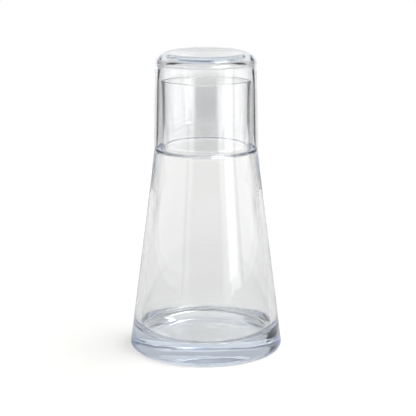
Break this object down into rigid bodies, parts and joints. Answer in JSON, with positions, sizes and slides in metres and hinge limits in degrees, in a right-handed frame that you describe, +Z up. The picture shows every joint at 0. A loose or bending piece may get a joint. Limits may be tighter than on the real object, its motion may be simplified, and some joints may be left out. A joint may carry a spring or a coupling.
{
  "type": "bedside carafe with tumbler",
  "caption": "Cone-sided clear glass water carafe with a thick base and a straight neck, capped by an upturned tumbler that lifts off to drink from.",
  "frame": {"origin": "centre of the carafe's base, on the surface it stands on", "axes": "+Z up along the axis of revolution; X and Y are level and alike"},
  "size_m": [0.108, 0.108, 0.2101],
  "materials": {
    "clear_glass": "clear, fire-polished"
  },
  "bodies": {
    "carafe": {"carafe": "clear_glass"},
    "tumbler": {"tumbler": "clear_glass"}
  },
  "joints": [
    {"name": "tumbler_lift", "type": "slide", "parent": "carafe", "child": "tumbler", "axis": [0, 0, 1], "range_m": [0, 0.08]}
  ]
}
